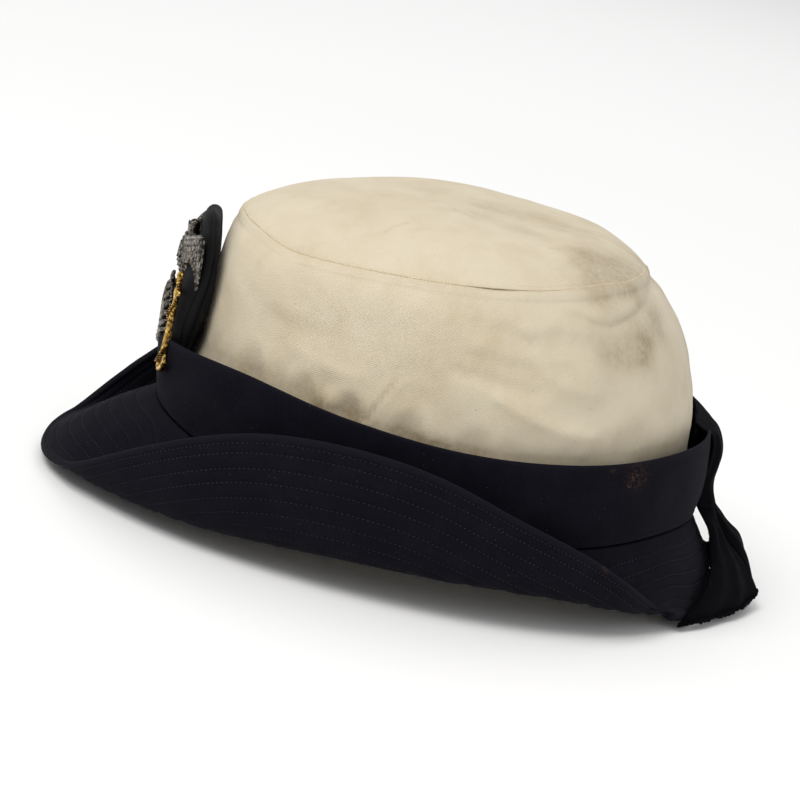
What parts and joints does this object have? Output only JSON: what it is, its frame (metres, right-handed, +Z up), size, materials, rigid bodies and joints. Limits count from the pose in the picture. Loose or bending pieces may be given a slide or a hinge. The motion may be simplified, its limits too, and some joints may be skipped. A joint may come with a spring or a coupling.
{
  "type": "women's brimmed service hat",
  "caption": "Women's naval service hat: cream cotton crown, navy band, stitched navy brim rolled up at the sides, ribbon bow behind and a padded metal badge in front.",
  "frame": {"origin": "under the middle of the hat's box, on the floor that the brim rests on", "axes": "+Z up, the badge and the front of the hat face -Y, +X is the wearer's left"},
  "size_m": [0.2086, 0.2858, 0.1345],
  "materials": {
    "crown_cotton": "matt cream cotton twill, lightly stained",
    "navy_serge": "matt navy wool serge with rows of stitching on the brim",
    "bow_ribbon": "dark navy ribbed ribbon with pinked ends",
    "badge_cloth": "black ribbed cloth over soft padding",
    "silver_metal": "tarnished silver with relief",
    "gold_metal": "worn gilt with bright edges"
  },
  "bodies": {
    "root": {"crown_side": "crown_cotton", "crown_tip": "crown_cotton", "hat_band": "navy_serge", "brim": "navy_serge", "bow_end": "bow_ribbon", "bow_knot": "bow_ribbon", "bow_tail_left": "bow_ribbon", "bow_tail_right": "bow_ribbon", "badge_pad": "badge_cloth", "badge_crest": "silver_metal", "badge_anchor_left": "gold_metal", "badge_anchor_right": "gold_metal"}
  },
  "joints": []
}
